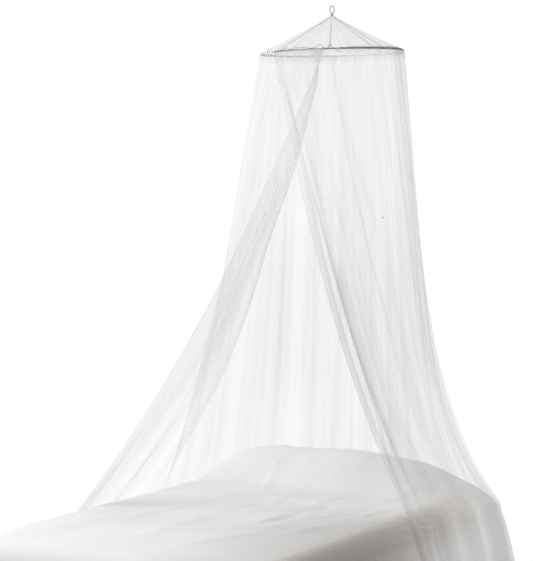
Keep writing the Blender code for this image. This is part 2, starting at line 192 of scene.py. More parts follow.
# Where the outer panel overlaps the inner one near the hoop: less dense by as much as this
OVERLAP_OPENER = 0.5
OVERLAP_ALONG = ((0.06, 1), (0.10, 1.3), (0.14, 1), (0.20, 0))
OVERLAP_DOWN = ((0.03, 0), (0.08, 1), (0.33, 1), (0.45, 0.5), (0.62, 0))
# The outer panel below that, from its edge to its inner side, and how this comes in
OUTER_ALONG = ((0.0, 1.2), (0.07, 1.15), (0.10, 0.7), (0.16, 0.5), (0.20, 1.0))
OUTER_DOWN = ((0.35, 0), (0.65, 1))
# Over the bed's side, along the cloth: how much denser, and how much whiter as painted light
DENSITY_FALLEN = ((0.60, 4.0), (0.80, 4.0), (0.88, 2.2), (1.00, 1.8))
PAINTED_LIGHT_FALLEN = ((0.60, 0.15), (0.70, 0.2), (0.80, 0.22), (0.86, 0))
NET_COLUMNS = 880
NET_ROWS = 96  # from the hoop to the bed's edge
FALL_ROWS = 14  # and from there to the hem
BASE_THREADS = 561

# Families of folds: how many across the cloth, how far they draw together at the hoop
# and at the bed (a fold overlaps itself past 1), how deep they are there as a share of
# their widths, and how much their widths vary
FOLDS = (
    (30, (0.30, 0.48), (0.10, 0.22), 0.65),
    (78, (0.40, 0.30), (0.05, 0.04), 0.50),
)
FOLD_STRENGTH = (0.1, 1.5, 5)  # from, to, and how many times it changes down the cloth
FOLD_DRIFT = (-1, 1, 3)
FOLD_WANDER = 1.6
FOLD_START = ((0, 0), (0.03, 0.3), (0.07, 1))
FOLD_WIDTHS = (0.008, 0.014)  # a fold this narrow lies flat, and one this much wider stands
EDGE_HELD = 60
DEEPEST = 0.009
# How far the cloth is folded, along it
FOLDED = (
    (0.00, 0.6), (0.08, 0.5), (0.12, 0.2), (0.18, 0.2), (0.25, 0.15), (0.36, 0.15), (0.44, 0.45),
    (0.64, 0.45), (0.74, 0.7), (1.00, 0.7),
)
# The folds and soft bands that stand out: half width along the cloth, how dense, how high,
# and where each runs, by height and place along the cloth
MAIN_FOLDS = (
    # the inner panel: its dark fold, two fine lines, and the soft band by its silhouette
    (0.0036, 3.1, 0.005, (
        (2.51, 0.983), (2.34, 0.971), (2.18, 0.960), (1.97, 0.949), (1.76, 0.940),
        (1.47, 0.934), (1.18, 0.932), (0.93, 0.945), (0.69, 0.966), (0.54, 0.995),
    )),
    (0.0020, 2.3, 0.004, (
        (2.48, 0.855), (2.25, 0.850), (2.00, 0.848), (1.76, 0.839), (1.52, 0.830),
        (1.37, 0.823), (1.18, 0.821), (0.85, 0.821), (0.72, 0.840),
    )),
    (0.0020, 2.4, 0.004, (
        (2.50, 0.754), (2.35, 0.748), (2.15, 0.745), (1.96, 0.743), (1.76, 0.739),
        (1.47, 0.741), (1.25, 0.750),
    )),
    (0.0240, 2.1, 0, (
        (2.52, 0.708), (2.20, 0.712), (1.95, 0.720), (1.75, 0.731), (1.55, 0.740),
        (1.35, 0.744), (1.15, 0.752),
    )),
    # the thinner cloth at the silhouette, and the bands beside the dark fold
    (0.0300, 0.4, 0, (
        (1.70, 0.692), (1.30, 0.692), (1.00, 0.702), (0.80, 0.706), (0.66, 0.708),
    )),
    (0.0360, 1.8, 0, ((1.50, 0.432), (1.10, 0.428))),
    (0.0150, 0.4, 0, ((1.25, 0.838), (1.10, 0.858), (1.00, 0.870))),
    (0.0160, 2.2, 0, (
        (1.50, 0.912), (1.15, 0.914), (0.95, 0.924), (0.75, 0.938), (0.62, 0.950),
    )),
    # its streaks from the hoop
    (0.0160, 1.6, 0.002, ((2.50, 0.800), (2.10, 0.791))),
    (0.0040, 1.8, 0.002, ((2.50, 0.773), (2.25, 0.768), (2.03, 0.768))),
    (0.0070, 1.6, 0.002, (
        (2.49, 0.857), (2.27, 0.848), (2.08, 0.834), (1.95, 0.827), (1.78, 0.814),
    )),
    (0.0040, 1.7, 0.002, (
        (2.49, 0.898), (2.31, 0.902), (2.16, 0.893), (1.98, 0.895), (1.78, 0.887),
    )),
    (0.0060, 1.6, 0.002, ((2.20, 0.947), (2.03, 0.932), (1.93, 0.925), (1.83, 0.925))),
    # the net's left side, and its softer silhouette
    (0.0090, 1.9, 0.002, (
        (2.40, 0.229), (2.28, 0.222), (2.13, 0.209), (2.02, 0.203), (1.88, 0.194), (1.75, 0.190),
    )),
    (0.0020, 1.8, 0.002, ((2.51, 0.223), (2.28, 0.214), (2.16, 0.212))),
    (0.0350, 0.6, 0, ((2.50, 0.290), (1.70, 0.290))),
    # the outer panel: two soft folds, a thinner band, and a fine line low down
    (0.0200, 1.8, 0.006, (
        (2.10, 0.097), (1.62, 0.085), (1.21, 0.070), (1.05, 0.058), (0.93, 0.045),
        (0.75, 0.030), (0.58, 0.015),
    )),
    (0.0105, 1.5, 0.006, (
        (2.20, 0.122), (1.81, 0.117), (1.42, 0.112), (1.23, 0.110), (1.09, 0.109),
        (0.93, 0.113), (0.79, 0.114), (0.62, 0.128),
    )),
    (0.0180, 0.55, 0, ((2.30, 0.150), (1.40, 0.150), (0.70, 0.152))),
    (0.0022, 2.0, 0.004, (
        (1.15, 0.106), (1.05, 0.102), (0.97, 0.093), (0.86, 0.087), (0.72, 0.084), (0.62, 0.082),
    )),
)
MAIN_FADE = 0.03  # past its ends, over this much or so many half widths
MAIN_FADE_WIDTHS = 8
LEAST_DENSE, MOST_DENSE = 0.55, 2.1  # from the small folds
SMOOTHING = (0.05, 0.1, 0.2, 0.3, 0.2, 0.1, 0.05)

# The net's cloth: its mesh, and the streaks down it, by how many to the metre across and
# down, and how strong
MESH_SLANT = 0.55
MESH_THREADS = 3600
MESH_DEPTH = 0.15
STREAKS = ((8, 0.30, 0.8), (26, 0.4, 0.45), (95, 0.6, 0.2))
STREAK_SHOWN = (0.006, 0.012)  # one shows only where it is wider than this, for its share
MOST_COVER = 0.95
HEM_WIDTH = 0.008
HEM_DENSER = (4.0, 0.5)
FOOT_HEM = (0.995, 1.5)  # how far down it starts, and how much denser

# The bedspread's tones, its greyer parts, partly painted shade, and its warm painted shade;
# the hoop's tones, and the pale casing that shows inside it
SPREAD_TONES = ((0.92, 0.915, 0.905), (0.78, 0.77, 0.75))
SPREAD_GREY_AND_SHADE = (0.70, 0.69, 0.68)
SPREAD_PAINTED_SHADE = (0.56, 0.50, 0.46)
STEEL_TONES = ((0.10, 0.085, 0.075), (0.24, 0.20, 0.17))
CASING_SEEN = (0.84, 0.83, 0.82)

# The camera, the lamps and the stage
CAMERA_PLACE = (4.183, -7.969, 2.062)
CAMERA_DOWN = 3.56
CAMERA_TURN = 29.6
CAMERA_LENS = 125.8
CAMERA_SENSOR = 36
AMBIENT = 0.47
LAMPS = (
    # name, place, aim, size, power, spread
    ("softbox_left", (-3.4, -2.3, 3.4), (0, -0.5, 0.8), (3.0, 3.0), 155, 180),
    ("softbox_back", (-1.2, 4.0, 3.6), (0, 0, 1.2), (3.0, 2.0), 30, 180),
    ("softbox_top", (1.6, -3.4, 3.0), (0, 0, 2.45), (1.0, 0.8), 3, 35),
    ("softbox_side", (3.2, 1.7, 0.42), (0.80, 0.0, 0.33), (0.6, 0.4), 1.4, 26),
    ("softbox_front", (1.4, -6.4, 3.2), (0, -0.3, 0.6), (3.0, 2.0), 44, 180),
)
LIGHT_BOUNCES = 96  # so that light passes every layer of the net
FLOOR_SIZE = 120
FLOOR_GREY = 0.42  # as it lights the part
FLOOR_SEEN = 0.55  # as the camera sees it near the bed
FLOOR_GLOW = 0.62
FLOOR_NEAR, FLOOR_FADE = 1.2, 1.6
random = np.random.default_rng(11)


# Between a table's rows


def between(at, table):
    """The value at a place, in a table of places and values."""
    return np.interp(at, *zip(*table))


def smooth(t):
    """From 0 to 1, easing at both ends."""
    return t * t * (3 - 2 * t)


def eased(at, table):
    """The value at a place in such a table, easing from row to row."""
    places, values = zip(*table)
    i = min(max(int(np.searchsorted(places, at)), 1), len(places) - 1)
    t = min(max((at - places[i - 1]) / (places[i] - places[i - 1]), 0), 1)
    return values[i - 1] + (values[i] - values[i - 1]) * smooth(t)


def through(rows, at):
    """Catmull-Rom through a table's rows, at a fractional row number."""
    table = np.array(rows, dtype=float)
    i = min(int(at), len(table) - 2)
    t = at - i
    a, b, c, d = (table[min(max(i + k, 0), len(table) - 1)] for k in (-1, 0, 1, 2))
    bent = 2 * a - 5 * b + 4 * c - d
    return 0.5 * (2 * b + (c - a) * t + bent * t**2 + (3 * b - a - 3 * c + d) * t**3)


# Places on the hoop and round the bed


def outer_layer(angle):
    """1 where the cloth at the hoop is the outer layer, and 0 where it is the inner one."""
    return float(np.interp(angle, LAP_ANGLES, (0, 1)))


def hoop_point(angle, out, up):
    """The point out from the hoop's middle line and up from it, at an angle in degrees."""
    turn = OPENING_ANGLE + radians(angle)
    x = (HOOP_RADIUS + out) * cos(turn)
    y = (HOOP_RADIUS + out) * sin(turn)
    lean = tan(HOOP_TILT) * (x * cos(HOOP_LOW_ANGLE) + y * sin(HOOP_LOW_ANGLE))
    return np.array((x, y, HOOP_HEIGHT + up - lean))


def around_bed(run, out):
    """Points out from the bed's plan and the ways out, run metres round clockwise."""
    across = BED_WIDTH / 2 - PLAN_RADIUS
    head = HEAD_Y - PLAN_RADIUS
    foot = HEAD_Y - BED_LENGTH + PLAN_RADIUS
    corners = ((-across, foot), (-across, head), (across, head), (across, foot))
    facing = (pi, pi / 2, 0, -pi / 2)
    arc = PLAN_RADIUS * pi / 2
    sides = (BED_LENGTH - 2 * PLAN_RADIUS, BED_WIDTH - 2 * PLAN_RADIUS) * 2
    run %= sum(sides) + 4 * arc
    for k in range(4):
        way_out = np.array((cos(facing[k]), sin(facing[k])))
        start, end = np.array(corners[k]), np.array(corners[(k + 1) % 4])
        if run <= sides[k]:
            on_side = start + (end - start) * run / sides[k]
            return on_side + way_out * (PLAN_RADIUS + out), way_out
        run -= sides[k]
        if run <= arc:
            turn = facing[k] - run / PLAN_RADIUS
            way_out = np.array((cos(turn), sin(turn)))
            return end + way_out * (PLAN_RADIUS + out), way_out
        run -= arc
    return around_bed(0, out)


def net_run(share):
    """How far round the bed a share of the net's way is."""
    first = -SHARE_START - (HEAD_Y - BED_LENGTH + PLAN_RADIUS)
    reach = BED_LENGTH + BED_WIDTH - 4 * PLAN_RADIUS + PLAN_RADIUS * pi
    last = reach + (HEAD_Y - PLAN_RADIUS) + SHARE_END
    return first + share * (last - first)


def side_out(height):
    """How far the bedspread stands out of the bed's plan at a height below its roll."""
    return float(between(height, SPREAD_FALL))


# The net's smooth surface, before its fine folds


def thread(u):
    """One thread of the net from the hoop to the hem: its points and the ways out there."""
    angle, share, late, turn, middle, foot = through(PLEATS, u * (len(PLEATS) - 1))
    crest = 0.5 + 0.5 * cos(2 * pi * u * (len(PLEATS) - 1))
    layer = outer_layer(angle)
    top = hoop_point(angle, HOOP_WIRE + NET_OFF_HOOP + layer * LAP_LIFT, 0)
    turned = OPENING_ANGLE + radians(angle)
    radial = np.array((cos(turned), sin(turned), 0.0))
    swung_way = OPENING_ANGLE - SWING_TURN
    swung = SWING * eased(u, SWING_ALONG) * np.array((-sin(swung_way), cos(swung_way), 0.0))
    run = net_run(share)

    def over_edge(tilt):
        out = EDGE_RADIUS * (cos(tilt) - 1) + NET_CLEARANCE * cos(tilt)
        plan, _ = around_bed(run, out)
        height = BED_TOP - EDGE_RADIUS + (EDGE_RADIUS + NET_CLEARANCE) * sin(tilt)
        return np.array((*plan, height))

    _, way_out = around_bed(run, 0)
    way_out = np.array((*way_out, 0.0))
    level = over_edge(0)
    slope = (level - top) @ way_out * (1 - late + late * turn) / (top - level)[2]
    meeting_tilt = max(LEAST_TILT, atan(slope))
    meeting = over_edge(meeting_tilt)
    points, ways = [], []
    for row in range(NET_ROWS + 1):
        drop = (row / NET_ROWS) ** DROP_CROWD
        spread = (1 - late) * drop + late * drop**turn
        point = top + (meeting - top) * np.array((spread, spread, drop))
        aside = radial * (1 - spread) + way_out * spread
        aside /= np.linalg.norm(aside)
        proud = crest * np.interp(drop, PLEAT_DROPS, (0, PLEAT_FIRST * middle, middle, foot))
        proud += layer * LAP_SWELL * between(drop, LAP_SWELL_DOWN)
        points.append(point + aside * proud + swung * eased(drop, SWING_DOWN))
        ways.append(aside)
    length = sum(np.linalg.norm(b - a) for a, b in zip(points, points[1:]))
    length += EDGE_RADIUS * meeting_tilt
    edge_height = level[2]
    hem_height = max(HEM_LOWEST, edge_height - (NET_LENGTH - length))
    for row in range(1, FALL_ROWS + 1):
        fall = row / FALL_ROWS
        if fall < TURN_ROWS:
            point = over_edge(meeting_tilt * (1 - fall / TURN_ROWS))
        else:
            down = (fall - TURN_ROWS) / (1 - TURN_ROWS)
            height = edge_height + (hem_height - edge_height) * down
            plan, _ = around_bed(run, side_out(height) + NET_CLEARANCE * (1 + fall))
            point = np.array((*plan, height))
        points.append(point + way_out * crest * foot * (1 + PLEAT_WIDER * fall))
        ways.append(way_out)
    return points, ways


# The net's folds


def wandering(count, length, vary):
    """A phase that grows by count turns over the cloth, with folds of uneven widths."""
    steps = 1 + vary * random.uniform(-1, 1, max(4, count))
    at = np.concatenate([[0], np.cumsum(steps)]) / steps.sum()
    return 2 * pi * np.interp(length, np.linspace(0, 1, len(at)), at * count)


def uneven(count, length, low, high, levels, rows):
    """A smooth uneven number for each row and place along the cloth, between two limits."""
    values = random.uniform(low, high, (levels + 1, count + 2))
    at = length * count
    i = np.floor(at).astype(int)
    t = smooth(at - i)
    across = values[:, i] * (1 - t) + values[:, i + 1] * t
    at = np.linspace(0, levels, rows)
    i = np.minimum(np.floor(at).astype(int), levels - 1)
    t = smooth(at - i)[:, None]
    return across[i] * (1 - t) + across[i + 1] * t


def fold_families(s, rows):
    """Each family of folds, with its phase along the cloth and its strength and drift."""
    families = []
    for count, over, deep, vary in FOLDS:
        phase = wandering(count, s, vary)
        wander = FOLD_WANDER * min(1, FOLDS[0][0] / count) ** 1.5
        strength = uneven(count, s, *FOLD_STRENGTH, rows)
        drift = uneven(count // 2, s, *FOLD_DRIFT, rows) * wander
        families.append((over, deep, phase, np.gradient(phase, s), strength, drift))
    return families


def small_folds(families, row, down, across, folded):
    """How far the families of folds carry a row of the cloth aside and out."""
    aside = np.zeros_like(across)
    proud = np.zeros_like(across)
    flat, wider = FOLD_WIDTHS
    for over, deep, phase, turns, strength, drift in families:
        width = across / turns
        turn = phase + drift[row]
        amount = strength[row] * folded * between(down, FOLD_START)
        amount = amount * np.clip((2 * pi * width - flat) / wider, 0, 1)
        drawn = over[0] + (over[1] - over[0]) * down
        depth = deep[0] + (deep[1] - deep[0]) * down
        aside += drawn * width * amount * np.sin(turn)
        lifted = np.minimum(depth * width * 2 * pi * amount, DEEPEST)
        proud += lifted * (0.5 + 0.5 * np.cos(turn))
    return aside, proud


def main_folds(height, u0):
    """How dense the main folds make the cloth at a height, and how far they lift it."""
    denser = np.ones_like(u0)
    lift = np.zeros_like(u0)
    for half, dense, high, path in MAIN_FOLDS:
        top, foot = path[0][0], path[-1][0]
        fade = max(MAIN_FADE, MAIN_FADE_WIDTHS * half)
        shown = np.interp(height, (foot - fade, foot, top, top + fade), (0, 1, 1, 0))
        middle = between(height, path[::-1])
        near = shown * np.exp(-(((u0 - middle) / half) ** 2))
        denser += (dense - 1) * near
        lift += high * near
    return denser, lift


def density(u0, down, fallen, across, straight):
    """How dense a row of the net looks along its cloth, but for its main folds."""
    dense = np.clip(across / straight, LEAST_DENSE, MOST_DENSE) * across.mean() / across
    ends = len(SMOOTHING) // 2
    dense = np.convolve(np.pad(dense, ends, mode="edge"), SMOOTHING, mode="valid")
    dense *= between(u0, OUTER_ALONG) ** between(down, OUTER_DOWN)
    dense *= 1 - OVERLAP_OPENER * between(u0, OVERLAP_ALONG) * between(down, OVERLAP_DOWN)
    dense *= 1 + (between(u0, DENSITY_FALLEN) - 1) * fallen**0.5
    return dense * between(down, DENSITY_DOWN)


def folded_net():
    """The skirt's points row by row with all of its folds, the places along its cloth, and
    how gathered and open it is at each point, and how much painted light whitens it."""
    threads = [thread(k / (BASE_THREADS - 1)) for k in range(BASE_THREADS)]
    base, ways = (np.array(part) for part in zip(*threads))
    known = np.linspace(0, 1, BASE_THREADS)
    pull = between(known, FULLNESS)
    cloth = np.concatenate([[0], np.cumsum((pull[1:] + pull[:-1]) / 2)])
    cloth /= cloth[-1]
    s = np.linspace(0, 1, NET_COLUMNS + 1)
    u0 = np.interp(s, cloth, known)
    slope = np.gradient(u0, s)
    folded = np.minimum(1, np.minimum(s, 1 - s) * EDGE_HELD) * between(u0, FOLDED)
    rows = base.shape[1]
    families = fold_families(s, rows)
    points = np.zeros((rows, NET_COLUMNS + 1, 3))
    names = ("gathered", "opened", "painted_light")
    measures = {name: np.zeros((rows, NET_COLUMNS + 1)) for name in names}
    for row in range(rows):
        down = min(1.0, row / NET_ROWS)
        fallen = max(0, row - NET_ROWS) / FALL_ROWS
        speed = np.linalg.norm(np.gradient(base[:, row], known, axis=0), axis=1)
        speed_at = np.interp(u0, known, speed)
        across = np.maximum(speed_at * slope, 1e-6)
        aside, proud = small_folds(families, row, down, across, folded)
        denser, lift = main_folds(base[:, row, 2].mean(), u0)
        proud += lift * np.minimum(1, across / across.mean())
        u = np.clip(u0 + aside / speed_at, 0, 1)
        for axis in range(3):
            at = np.interp(u, known, base[:, row, axis])
            out = np.interp(u, known, ways[:, row, axis])
            points[row, :, axis] = at + out * proud * (1 - PLEAT_WIDER * fallen)
        straight = np.maximum(np.abs(np.gradient(u, s)) * speed_at, 1e-6)
        dense = density(u0, down, fallen, across, straight) * denser
        # painted light: the net is made whiter where it hangs over the bed's side
        white = between(u0, PAINTED_LIGHT_FALLEN) * fallen**0.5
        for name, values in zip(names, (dense, across / SKIRT_FLAT[0], white)):
            measures[name][row] = values
    return points, s, measures


# Making pieces


def link(obj):
    bpy.context.scene.collection.objects.link(obj)
    return obj


def grid(name, points, flat_u, flat_v, **measures):
    """A sheet from rows of points, with its flat places in metres as a UV map."""
    rows, columns = points.shape[:2]
    mesh = bpy.data.meshes.new(name)
    index = np.arange(rows * columns).reshape(rows, columns)
    corners = [index[:-1, :-1], index[:-1, 1:], index[1:, 1:], index[1:, :-1]]
    faces = np.stack(corners, axis=-1).reshape(-1, 4)
    mesh.from_pydata(points.reshape(-1, 3).tolist(), [], faces.tolist())
    uv = mesh.uv_layers.new(name="flat")
    flat = np.stack(np.broadcast_arrays(flat_u, flat_v), axis=-1).reshape(-1, 2)
    uv.data.foreach_set("uv", flat[faces.reshape(-1)].astype(np.float32).ravel())
    for measure, values in measures.items():
        layer = mesh.attributes.new(measure, "FLOAT", "POINT")
        spread_out = np.broadcast_to(values, (rows, columns)).astype(np.float32)
        layer.data.foreach_set("value", spread_out.ravel())
    mesh.shade_smooth()
    return link(bpy.data.objects.new(name, mesh))


def put(obj, *nodes, slot=None, material=None):
    """Gives a piece its material, sets it riding and hides the nodes it stands for (slot unused).
    """
    if material is not None:
        obj.data.materials.clear()
        obj.data.materials.append(material)
    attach(obj, "root")
    if nodes:
        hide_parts(*nodes)
    return obj


# Materials


class Nodes:
    """Short words for making a material's nodes."""

    def __init__(self, name):
        self.material = bpy.data.materials.new(name)
        self.material.use_nodes = True
        self.tree = self.material.node_tree
        self.tree.nodes.clear()
        self.out = self.tree.nodes.new("ShaderNodeOutputMaterial")

    def set(self, socket, value):
        if isinstance(value, bpy.types.NodeSocket):
            self.tree.links.new(value, socket)
        elif socket.type == "RGBA":
            socket.default_value = (*value, 1)
        else:
            socket.default_value = value

    def add(self, kind, *inputs, **values):
        """A node, from its inputs in their order and its settings and inputs by name."""
        node = self.tree.nodes.new("ShaderNode" + kind)
        for key, value in values.items():
            if hasattr(node, key):
                setattr(node, key, value)
            else:
                self.set(node.inputs[key.replace("_", " ")], value)
        for socket, value in zip(node.inputs, inputs):
            self.set(socket, value)
        return node

    def made(self, kind, *inputs, **values):
        """The first output of such a node."""
        return self.add(kind, *inputs, **values).outputs[0]

    def math(self, operation, a, b=0.0, c=0.0, clamp=False):
        return self.made("Math", a, b, c, operation=operation, use_clamp=clamp)

    def times(self, a, b, **more):
        return self.math("MULTIPLY", a, b, **more)

    def minus(self, a, b, **more):
        return self.math("SUBTRACT", a, b, **more)

    def past(self, a, b, over):
        """How far a is past b, from 0 to 1 over a length."""
        return self.math("DIVIDE", self.minus(a, b), over, clamp=True)

    def noise(self, place, scale, detail, **more):
        return self.made("TexNoise", **more, Vector=place, Scale=scale, Detail=detail)

    def measure(self, name):
        """A measure that the sheet carries."""
        return self.add("Attribute", attribute_name=name).outputs["Fac"]

    def cotton(self, colour, height, specular, strength):
        """The surface of brushed cotton, from its colour and the height of its fibres."""
        bump = self.made("Bump", Strength=strength, Distance=0.002, Height=height)
        shader = self.made(
            "BsdfPrincipled", Base_Color=colour, Roughness=0.95, Sheen_Weight=0.25,
            Sheen_Roughness=0.6, Specular_IOR_Level=specular, Normal=bump,
        )
        return self.surface(shader)

    def surface(self, shader):
        """The finished material."""
        self.set(self.out.inputs["Surface"], shader)
        return self.material


def net_material(name, cover):
    """Sheer knitted net: fine mesh and uneven streaks, denser where it is gathered."""
    n = Nodes(name)
    flat = n.made("UVMap", uv_map="flat")
    across, down, _ = n.add("SeparateXYZ", flat).outputs
    # the mesh, as crossing slanting threads
    slant = n.times(down, MESH_SLANT)
    one, two = (
        n.math("SINE", n.times(n.math(way, across, slant), MESH_THREADS))
        for way in ("ADD", "SUBTRACT")
    )
    mesh = n.math("MULTIPLY_ADD", n.times(one, two), MESH_DEPTH, 1.0)
    # streaks that run down the cloth, broad and fine, the finest only where it is open
    opened = n.measure("opened")
    streaks = 1.0
    for size, longer, much in STREAKS:
        stretched = n.made("Mapping", Vector=flat, Scale=(size, longer, 1))
        streak = n.noise(stretched, 1.0, 1.0, noise_dimensions="2D")
        shown = n.past(n.math("DIVIDE", opened, size), *STREAK_SHOWN)
        swing = n.times(n.minus(streak, 0.5), 2 * much)
        streaks = n.times(streaks, n.math("MULTIPLY_ADD", swing, shown, 1.0))
    once = n.times(n.times(mesh, streaks), cover, clamp=True)
    open_part = n.math("POWER", n.minus(1.0, once), n.measure("gathered"))
    alpha = n.math("MINIMUM", n.minus(1.0, open_part), MOST_COVER)
    # painted light: the colour goes toward white where the sheet carries painted light
    colour = n.made("MixRGB", n.measure("painted_light"), NET_COLOUR, (1, 1, 1))
    cloth = n.made("BsdfDiffuse", Color=colour, Roughness=0.0)
    through_it = n.made("BsdfTranslucent", Color=colour)
    threads = n.made("MixShader", 0.5, cloth, through_it)
    return n.surface(n.made("MixShader", alpha, n.made("BsdfTransparent"), threads))


def spread_cloth(name):
    """The bedspread: brushed cotton, wispy streaks, and painted warm shade over its near edge."""
    n = Nodes(name)
    place = n.add("TexCoord").outputs["Object"]
    x, y, z = n.add("SeparateXYZ", place).outputs
    fibre = n.noise(place, 70.0, 4.0, Roughness=0.7)
    # wisps that slant over the roll, by how far across it and how far along
    across = n.times(n.minus(x, z), 0.7)
    across = n.minus(across, n.times(y, 0.26))
    along = n.made("CombineXYZ", n.times(across, 105.0), n.times(y, 7.0))
    wisp = n.noise(along, 1.0, 3.0, noise_dimensions="2D", Roughness=0.65)
    wisps = n.times(n.minus(wisp, 0.38), 3.2, clamp=True)
    # painted shade over the roll at the near edge, more of it toward the foot
    to_foot = n.math("MULTIPLY_ADD", n.past(0.15, y, 0.45), 0.8, 0.2)
    near_edge_shade = n.times(n.past(x, 0.56, 0.10), to_foot)
    rolled = n.times(near_edge_shade, n.past(z, 0.35, 0.12))
    clear = n.minus(1.0, n.times(wisps, 0.55))
    shaded = n.times(rolled, clear)
    fine = n.times(fibre, 0.25)
    uneven_tone = n.math("MULTIPLY_ADD", n.noise(place, 4.0, 4.0), 0.6, fine)
    tone = n.made("MixRGB", uneven_tone, *SPREAD_TONES)
    # a little greyer over the lower middle, and painted shade greying it toward the near edge
    from_middle = n.math("DIVIDE", n.math("ABSOLUTE", n.math("ADD", y, 1.05)), 0.6)
    middle = n.minus(1.0, from_middle, clamp=True)
    near_foot_shade = n.times(n.past(x, 0.10, 0.5), n.past(-0.38, y, 0.4))
    greyer = n.math("MULTIPLY_ADD", near_foot_shade, 0.75, n.times(middle, 0.35))
    greyer = n.times(greyer, 1.0, clamp=True)
    grey = n.made("MixRGB", greyer, tone, SPREAD_GREY_AND_SHADE, blend_type="MULTIPLY")
    # painted shade: a warm dark tone laid over the roll, thinner where the wisps cross it
    warm = n.made("MixRGB", n.times(shaded, 0.95), grey, SPREAD_PAINTED_SHADE)
    raised = n.times(wisps, rolled)
    height = n.math("MULTIPLY_ADD", raised, 1.4, n.times(fibre, 0.5))
    return n.cotton(warm, height, specular=0.1, strength=0.5)


def cotton(name, colour, dark):
    """Brushed cotton: a fine weave, soft fibres, and slight uneven tone."""
    n = Nodes(name)
    place = n.add("TexCoord").outputs["Object"]
    fine = n.times(n.noise(place, 420.0, 3.0), 0.3)
    fibre = n.noise(place, 60.0, 4.0, Roughness=0.7)
    soft = n.times(fibre, 0.3)
    tone = n.math("MULTIPLY_ADD", n.noise(place, 5.0, 3.0), 0.5, soft)
    height = n.math("MULTIPLY_ADD", fibre, 1.0, fine)
    return n.cotton(n.made("MixRGB", tone, colour, dark), height, specular=0.15, strength=0.35)


def hoop_steel(name):
    """Dark painted wire, seen pale on its inner side, where the net's casing shows through."""
    n = Nodes(name)
    geometry = n.add("NewGeometry")
    place = geometry.outputs["Position"]
    level = n.made("VectorMath", place, (1, 1, 0), operation="MULTIPLY")
    outward = n.made("VectorMath", level, operation="NORMALIZE")
    facing = n.add("VectorMath", geometry.outputs["Normal"], outward, operation="DOT_PRODUCT")
    inner = n.past(0.15, facing.outputs["Value"], 0.3)
    dark = n.made("MixRGB", n.noise(place, 45.0, 3.0), *STEEL_TONES)
    tone = n.made("MixRGB", inner, dark, CASING_SEEN)
    return n.surface(n.made("BsdfPrincipled", Base_Color=tone, Roughness=0.5))


def plain(name, colour, roughness, metallic=0.0, grain=40.0, vary=0.15):
    """Metal wire, cord or tape: one colour with a fine uneven tone."""
    n = Nodes(name)
    place = n.add("TexCoord").outputs["Object"]
    low = [c * (1 - vary) for c in colour]
    high = [min(1, c * (1 + vary)) for c in colour]
    tone = n.made("MixRGB", n.noise(place, grain, 3.0), low, high)
    shader = n.made("BsdfPrincipled", Base_Color=tone, Roughness=roughness, Metallic=metallic)
    return n.surface(shader)


# The stage


def camera():
    data = bpy.data.cameras.new("camera")
    data.sensor_width = CAMERA_SENSOR
    data.lens = CAMERA_LENS
    made = link(bpy.data.objects.new("camera", data))
    made.location = CAMERA_PLACE
    made.rotation_euler = (radians(90 - CAMERA_DOWN), 0, radians(CAMERA_TURN))
    bpy.context.scene.camera = made


def lamp(name, place, aim, size, power, spread):
    data = bpy.data.lights.new(name, "AREA")
    data.shape = "RECTANGLE"
    data.size, data.size_y = size
    data.energy = power
    data.spread = radians(spread)
    made = link(bpy.data.objects.new(name, data))
    made.location = place
    made.rotation_euler = (Vector(aim) - Vector(place)).to_track_quat("-Z", "Y").to_euler()


def world():
    """A white backdrop for the camera, and a dimmer even light for the part."""
    made = bpy.data.worlds.new("studio")
    bpy.context.scene.world = made
    made.use_nodes = True
    tree = made.node_tree
    back = tree.nodes["Background"]
    back.inputs["Color"].default_value = (1, 1, 1, 1)
    path = tree.nodes.new("ShaderNodeLightPath")
    mix = tree.nodes.new("ShaderNodeMix")
    mix.data_type = "FLOAT"
    mix.inputs[2].default_value = AMBIENT
    mix.inputs[3].default_value = 1.0
    tree.links.new(path.outputs["Is Camera Ray"], mix.inputs[0])
    tree.links.new(mix.outputs[0], back.inputs["Strength"])


def floor():
    """A pale floor: lit near the bed, and as bright as the backdrop further off."""
    n = Nodes("pale_floor")
    dim = n.made("BsdfDiffuse", Color=(FLOOR_GREY,) * 3)
    lit = n.made("BsdfDiffuse", Color=(FLOOR_SEEN,) * 3)
    near = n.made("AddShader", lit, n.made("Emission", Strength=FLOOR_GLOW))
    place = n.add("NewGeometry").outputs["Position"]
    away = n.add("VectorMath", place, operation="LENGTH").outputs["Value"]
    away = n.past(away, FLOOR_NEAR, FLOOR_FADE)
    fade = n.made("MixShader", away, near, n.made("Emission", Strength=1.0))
    seen = n.made("MixShader", n.add("LightPath").outputs["Is Camera Ray"], dim, fade)
    bpy.ops.mesh.primitive_plane_add(size=FLOOR_SIZE, location=(0, 0, 0))
    obj = bpy.context.object
    obj.name = "floor"
    obj.data.materials.append(n.surface(seen))


def stage():
    scene = bpy.context.scene
    scene.view_settings.view_transform = "Standard"
    scene.cycles.transparent_max_bounces = LIGHT_BOUNCES
    camera()
    world()
    floor()
    for row in LAMPS:
        lamp(*row)


# The pieces


def hems(length, size, width, much):
    """How much denser a sheet is at its two hemmed edges, which fade out past their width."""
    first, last = (np.clip(1.5 - near * size / width, 0, 1) for near in (length, 1 - length))
    return 1 + much[0] * first + much[1] * last


def net():
    """The hanging net, with what is wound round its hoop and the fleck caught in it."""
    points, s, measures = folded_net()
    down = np.linspace(0, 1, points.shape[0])
    start, denser = FOOT_HEM
    measures["gathered"] *= hems(s, SKIRT_FLAT[0], HEM_WIDTH, HEM_DENSER)[None, :]
    measures["gathered"] *= (1 + denser * (down > start))[:, None]
    across, along = s[None, :] * SKIRT_FLAT[0], down[:, None] * NET_LENGTH
    skirt = grid("net_skirt_cloth", points, across, along, **measures)
    put(skirt, "net_skirt", slot="net", material=net_material("net", NET_COVER))
    casing = [*hoop_casing(), fleck(points)]


